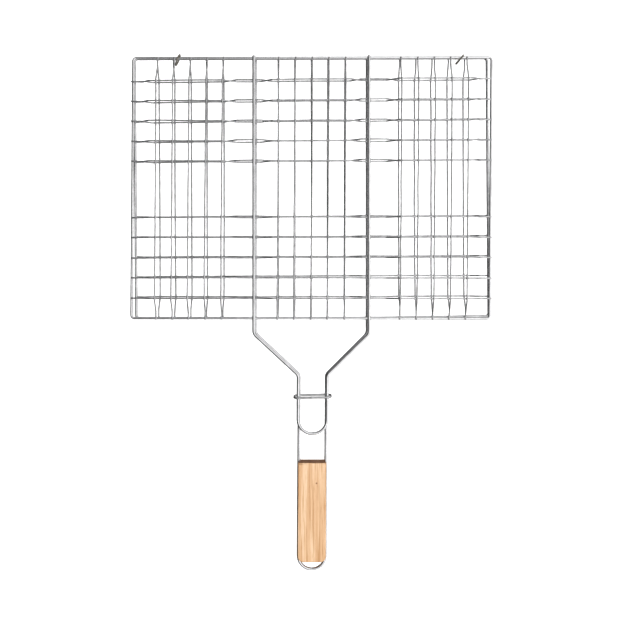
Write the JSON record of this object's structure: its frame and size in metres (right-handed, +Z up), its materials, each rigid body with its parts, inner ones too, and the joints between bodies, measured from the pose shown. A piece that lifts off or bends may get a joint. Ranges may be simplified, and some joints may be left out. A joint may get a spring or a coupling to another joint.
{
  "type": "grill basket",
  "caption": "Hinged wire grill basket with three dished food pockets, a sliding latch ring and a long handle with a wooden grip and a hanging loop.",
  "frame": {"origin": "bottom centre of the closed basket's bounding box, on the surface it lies on", "axes": "+Y towards the hinge side, -Y towards the hanging loop, +X to the right seen from above with the hinge away, +Z up"},
  "size_m": [0.4022, 0.5774, 0.0286],
  "materials": {
    "chrome_wire": "bright chrome plate on drawn steel wire, lightly streaked",
    "hinge_ring_steel": "plain warm grey wire, duller than the chrome",
    "grip_wood": "light straight-grained wood, sanded, clear matt finish"
  },
  "bodies": {
    "base": {"base_frame": "chrome_wire", "base_handle_wire": "chrome_wire", "wood_grip": "grip_wood", "base_long_wire_01": "chrome_wire", "base_long_wire_02": "chrome_wire", "base_long_wire_03": "chrome_wire", "base_long_wire_04": "chrome_wire", "base_long_wire_05": "chrome_wire", "base_long_wire_06": "chrome_wire", "base_long_wire_07": "chrome_wire", "base_long_wire_08": "chrome_wire", "base_long_wire_09": "chrome_wire", "base_long_wire_10": "chrome_wire", "base_long_wire_11": "chrome_wire", "base_long_wire_12": "chrome_wire", "base_long_wire_13": "chrome_wire", "base_long_wire_14": "chrome_wire", "base_long_wire_15": "chrome_wire", "base_cross_wire_01": "chrome_wire", "base_cross_wire_02": "chrome_wire", "base_cross_wire_03": "chrome_wire", "base_cross_wire_04": "chrome_wire", "base_cross_wire_05": "chrome_wire", "base_cross_wire_06": "chrome_wire", "base_cross_wire_07": "chrome_wire", "base_cross_wire_08": "chrome_wire", "base_cross_wire_09": "chrome_wire", "base_cross_wire_10": "chrome_wire"},
    "left_hinge_ring": {"left_hinge_ring": "hinge_ring_steel"},
    "lid": {"lid_frame": "chrome_wire", "lid_latch_wire": "chrome_wire", "lid_long_wire_01": "chrome_wire", "lid_long_wire_02": "chrome_wire", "lid_long_wire_03": "chrome_wire", "lid_long_wire_04": "chrome_wire", "lid_long_wire_05": "chrome_wire", "lid_long_wire_06": "chrome_wire", "lid_long_wire_07": "chrome_wire", "lid_long_wire_08": "chrome_wire", "lid_long_wire_09": "chrome_wire", "lid_long_wire_10": "chrome_wire", "lid_long_wire_11": "chrome_wire", "lid_long_wire_12": "chrome_wire", "lid_long_wire_13": "chrome_wire", "lid_long_wire_14": "chrome_wire", "lid_long_wire_15": "chrome_wire", "lid_cross_wire_01": "chrome_wire", "lid_cross_wire_02": "chrome_wire", "lid_cross_wire_03": "chrome_wire", "lid_cross_wire_04": "chrome_wire", "lid_cross_wire_05": "chrome_wire", "lid_cross_wire_06": "chrome_wire", "lid_cross_wire_07": "chrome_wire", "lid_cross_wire_08": "chrome_wire", "lid_cross_wire_09": "chrome_wire", "lid_cross_wire_10": "chrome_wire"},
    "right_hinge_ring": {"right_hinge_ring": "hinge_ring_steel"},
    "latch_ring": {"latch_ring": "chrome_wire"}
  },
  "joints": [
    {"name": "left_ring_swing", "type": "hinge", "parent": "base", "child": "left_hinge_ring", "pos_m": [-0.1494, 0.28465, 0.01265], "axis": [-1, 0, 0], "range_deg": [0, 90]},
    {"name": "lid_hinge", "type": "hinge", "parent": "left_hinge_ring", "child": "lid", "pos_m": [-0.1494, 0.28465, 0.01595], "axis": [-1, 0, 0], "range_deg": [0, 90]},
    {"name": "right_ring_swing", "type": "hinge", "parent": "base", "child": "right_hinge_ring", "pos_m": [0.1654, 0.28465, 0.01265], "axis": [-1, 0, 0], "range_deg": [0, 90]},
    {"name": "latch_slide", "type": "slide", "parent": "base", "child": "latch_ring", "axis": [0, -1, 0], "range_m": [-0.014, 0.069]}
  ],
  "couplings": [
    {"joint": "right_ring_swing", "follows": "left_ring_swing", "ratio": 1}
  ]
}
